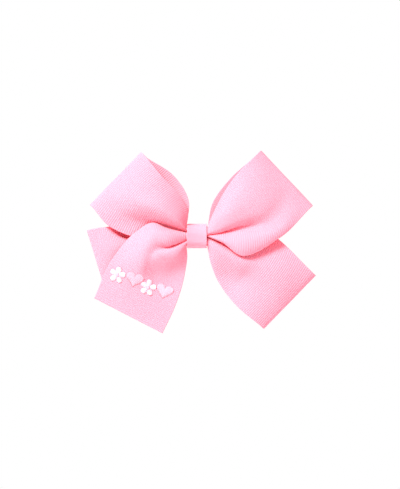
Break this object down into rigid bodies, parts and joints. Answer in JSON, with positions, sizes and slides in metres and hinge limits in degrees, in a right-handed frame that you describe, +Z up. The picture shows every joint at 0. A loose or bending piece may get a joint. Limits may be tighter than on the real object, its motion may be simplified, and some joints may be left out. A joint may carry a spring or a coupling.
{
  "type": "hair bow on alligator clip",
  "caption": "Grosgrain ribbon hair bow with looped sides, a hanging embroidered tail and a wrapped middle, on a sprung steel alligator clip that grips hair.",
  "frame": {"origin": "in the grip between the clip's jaws, straight behind the middle of the bow", "axes": "the bow faces -Y, +Z is up as worn, +X is to the right of someone looking at its front; the clip lies along X with its finger tabs at +X"},
  "size_m": [0.1141, 0.0281, 0.0907],
  "materials": {
    "ribbon_pink": "matte ribbed grosgrain",
    "thread_white": "satin stitched thread",
    "thread_pale_pink": "satin stitched thread",
    "set_glue": "cloudy set hot-melt glue",
    "clip_steel": "nickel-plated stamped steel"
  },
  "bodies": {
    "bow": {"ribbon_tail": "ribbon_pink", "ribbon_loop_upper_right": "ribbon_pink", "ribbon_loop_upper_left": "ribbon_pink", "ribbon_loop_lower_right": "ribbon_pink", "ribbon_loop_lower_left": "ribbon_pink", "ribbon_waist": "ribbon_pink", "binding_thread": "thread_white", "centre_wrap": "ribbon_pink", "glue_pad": "set_glue", "clip_lining": "ribbon_pink", "clip_upper_jaw": "clip_steel", "clip_pivot_pin": "clip_steel", "clip_spring": "clip_steel", "heart_1": "thread_pale_pink", "heart_2": "thread_pale_pink", "flower_1": "thread_white", "flower_2": "thread_white"},
    "lower_jaw": {"clip_lower_jaw": "clip_steel"}
  },
  "joints": [
    {"name": "clip_hinge", "type": "hinge", "parent": "bow", "child": "lower_jaw", "pos_m": [0.01, 0, 0], "axis": [0, 0, -1], "range_deg": [0, 35], "stiffness_Nm_per_rad": 0.05, "springref_deg": -45.84, "deforming": ["clip_spring"]}
  ]
}
